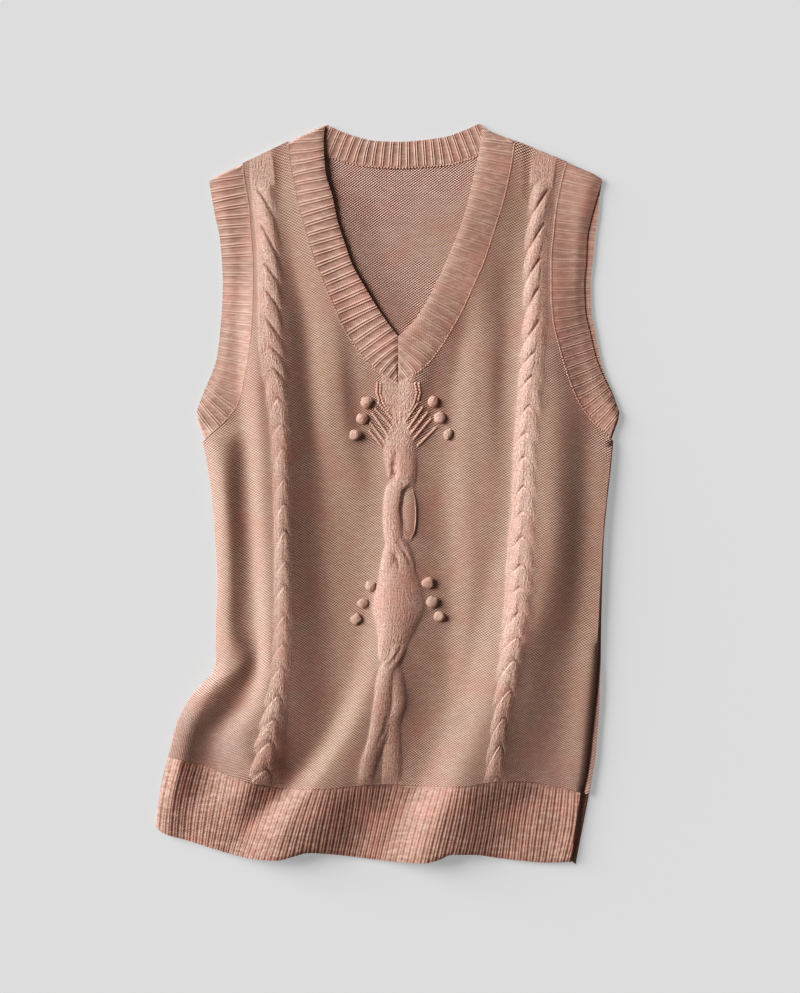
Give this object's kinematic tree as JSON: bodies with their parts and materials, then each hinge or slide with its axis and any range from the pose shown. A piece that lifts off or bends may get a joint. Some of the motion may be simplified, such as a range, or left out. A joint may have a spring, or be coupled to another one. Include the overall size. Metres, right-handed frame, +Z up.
{
  "type": "knitted sweater vest",
  "caption": "Sleeveless knitted vest with a V neck, ribbed bands and hem, side cables and a cabled centre with bobbles, laid flat face up with soft folds.",
  "frame": {"origin": "centre of the laid vest's bounding box, on the table", "axes": "+X to the right of the vest as seen from above, +Y from the hem towards the neck, +Z up from the table"},
  "size_m": [0.4471, 0.7131, 0.0189],
  "materials": {
    "body_knit": "soft matte wool knit, purl ground with cables",
    "rib_knit": "soft matte wool ribbing"
  },
  "bodies": {
    "root": {"back_body": "body_knit", "back_hem_rib": "rib_knit", "front_body": "body_knit", "front_hem_rib": "rib_knit", "neckband": "rib_knit", "armhole_band_left": "rib_knit", "armhole_band_right": "rib_knit"}
  },
  "joints": []
}
